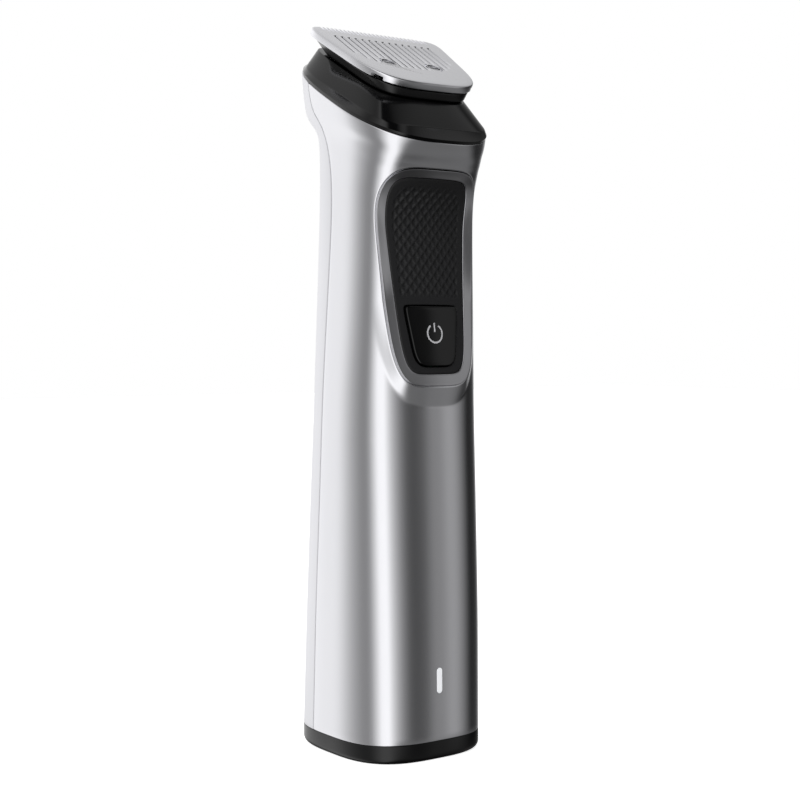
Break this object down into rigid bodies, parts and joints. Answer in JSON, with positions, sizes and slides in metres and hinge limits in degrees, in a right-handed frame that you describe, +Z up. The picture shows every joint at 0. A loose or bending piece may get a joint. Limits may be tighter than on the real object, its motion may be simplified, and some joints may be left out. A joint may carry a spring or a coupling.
{
  "type": "beard trimmer",
  "caption": "Upright cordless beard trimmer with a flared metal handle, a black grip panel with a power button, and a tilted detachable steel trimming head.",
  "frame": {"origin": "on the surface that the base stands on, below the middle of the whole object", "axes": "+Z up along the handle, -Y towards the front with the grip panel and button, +X across the width"},
  "size_m": [0.037, 0.0416, 0.1645],
  "materials": {
    "metal_shell": "satin silver metal with fine vertical brushing",
    "silver_shell": "satin silver lacquered plastic",
    "satin_grey": "satin grey metal bezel",
    "soft_grip": "soft-touch black with a fine diamond relief",
    "gloss_black": "polished black plastic",
    "satin_black": "satin black moulded plastic",
    "blade_steel": "ground and tumbled stainless steel",
    "plain_steel": "plain machined steel",
    "contact_brass": "turned brass",
    "seal_rubber": "moulded silicone rubber",
    "inner_plastic": "moulded engineering plastic",
    "cell_wrap": "shrink-wrap film",
    "circuit_board": "solder mask",
    "light_window": "frosted light pipe, softly lit"
  },
  "bodies": {
    "handle": {"front_shell": "metal_shell", "back_shell": "silver_shell", "base_cap": "satin_black", "base_seal": "seal_rubber", "charging_socket": "satin_black", "socket_pin_left": "contact_brass", "socket_pin_right": "contact_brass", "panel_bezel": "satin_grey", "grip_panel": "soft_grip", "light_window": "light_window", "chassis": "inner_plastic", "motor_can": "plain_steel", "motor_screw_left": "plain_steel", "motor_screw_right": "plain_steel", "shaft_seal": "seal_rubber", "battery_cell": "cell_wrap", "battery_tab_top": "plain_steel", "battery_tab_bottom": "plain_steel", "circuit_board": "circuit_board", "tact_switch": "satin_black", "status_led": "light_window", "control_chip": "satin_black", "head_collar": "gloss_black", "collar_seal": "seal_rubber", "head_clip_left": "plain_steel", "head_clip_right": "plain_steel"},
    "button": {"power_button": "gloss_black"},
    "drive": {"motor_shaft": "plain_steel", "eccentric_cam": "contact_brass"},
    "head": {"head_housing": "satin_black", "guard_blade": "blade_steel", "blade_screw_left": "plain_steel", "blade_screw_right": "plain_steel", "blade_spring": "plain_steel"},
    "cutter": {"cutter_blade": "blade_steel", "cutter_carrier": "inner_plastic"}
  },
  "joints": [
    {"name": "power_press", "type": "slide", "parent": "handle", "child": "button", "axis": [0, 1, 0], "range_m": [0, 0.0005], "stiffness_N_per_m": 1000},
    {"name": "motor_spin", "type": "hinge", "parent": "handle", "child": "drive", "pos_m": [0, 0.0015, 0.143], "axis": [0, 0, 1], "continuous": true},
    {"name": "head_release", "type": "slide", "parent": "handle", "child": "head", "axis": [0, -0.475, 0.88], "range_m": [0, 0.014]},
    {"name": "cutter_stroke", "type": "slide", "parent": "head", "child": "cutter", "axis": [1, 0, 0], "range_m": [-0.0008, 0.0008]}
  ]
}
